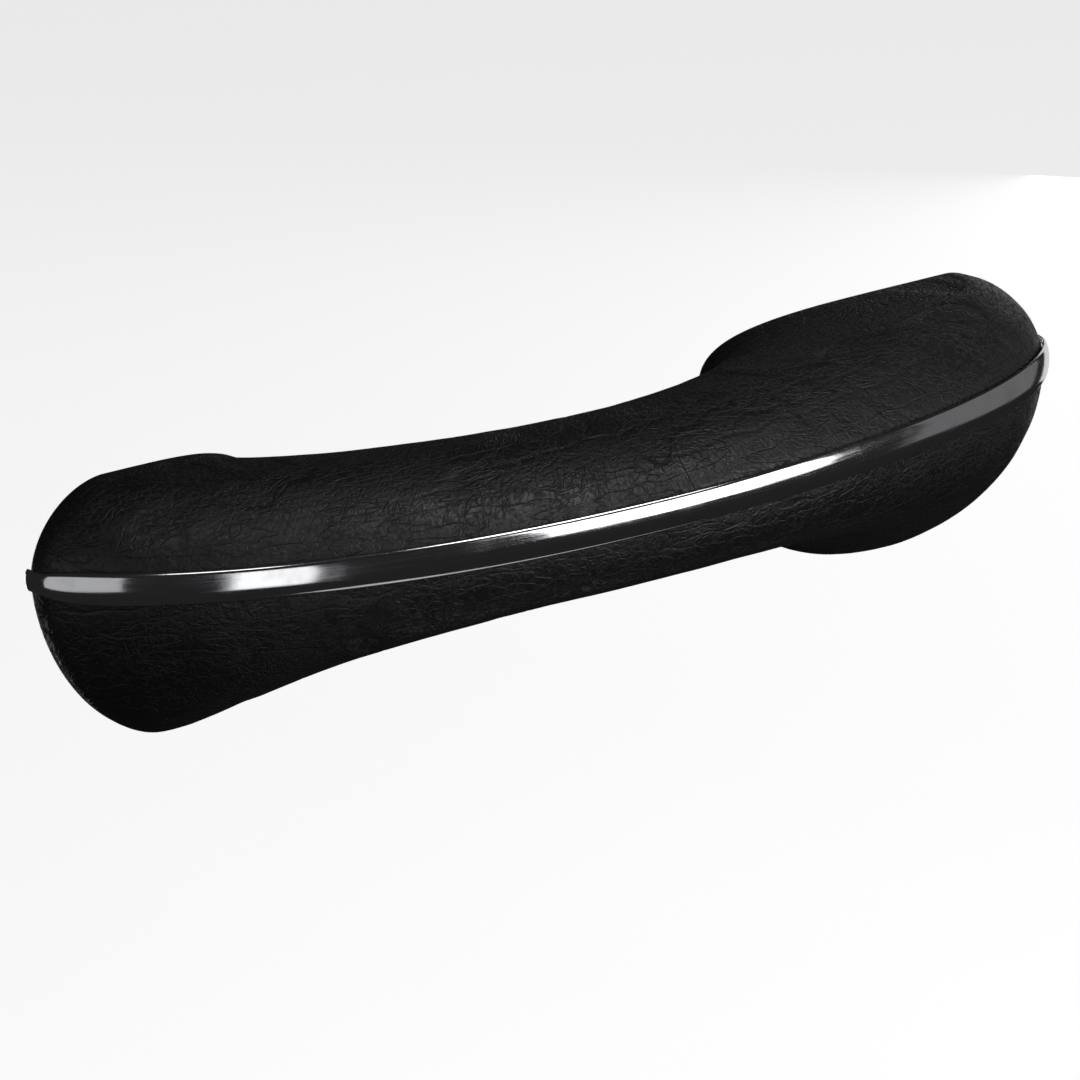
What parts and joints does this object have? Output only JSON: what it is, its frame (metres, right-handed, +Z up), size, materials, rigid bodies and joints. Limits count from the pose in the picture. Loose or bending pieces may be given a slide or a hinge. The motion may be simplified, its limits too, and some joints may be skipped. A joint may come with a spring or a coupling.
{
  "type": "padded door armrest",
  "caption": "Bow-shaped padded armrest and pull grip with two flared feet, a vinyl cover and a bright convex trim strip along its front.",
  "frame": {"origin": "on the door's face, midway between the axes of the two mounting bolts", "axes": "+X along the grip to its longer foot, +Y into the door, +Z up"},
  "size_m": [0.3024, 0.0637, 0.066],
  "materials": {
    "black_vinyl": "satin, leather grained vinyl",
    "foam": "open-cell foam",
    "dark_steel": "satin black paint",
    "plated_steel": "zinc plated",
    "spring_steel": "satin",
    "fibreboard": "matt pressed board",
    "bright_trim": "polished"
  },
  "bodies": {
    "root": {"upper_cover": "black_vinyl", "lower_cover": "black_vinyl", "upper_padding": "foam", "lower_padding": "foam", "core_rail": "dark_steel", "left_foot_plate": "dark_steel", "right_foot_plate": "dark_steel", "left_bolt_bush": "plated_steel", "right_bolt_bush": "plated_steel", "left_foot_board": "fibreboard", "right_foot_board": "fibreboard", "left_board_rivets": "plated_steel", "right_board_rivets": "plated_steel", "left_hem_staples": "plated_steel", "right_hem_staples": "plated_steel", "trim_strip": "bright_trim", "trim_clip_1": "spring_steel", "trim_clip_2": "spring_steel", "trim_clip_3": "spring_steel", "trim_clip_4": "spring_steel", "trim_clip_5": "spring_steel", "trim_clip_6": "spring_steel", "clip_rivets": "plated_steel"}
  },
  "joints": []
}
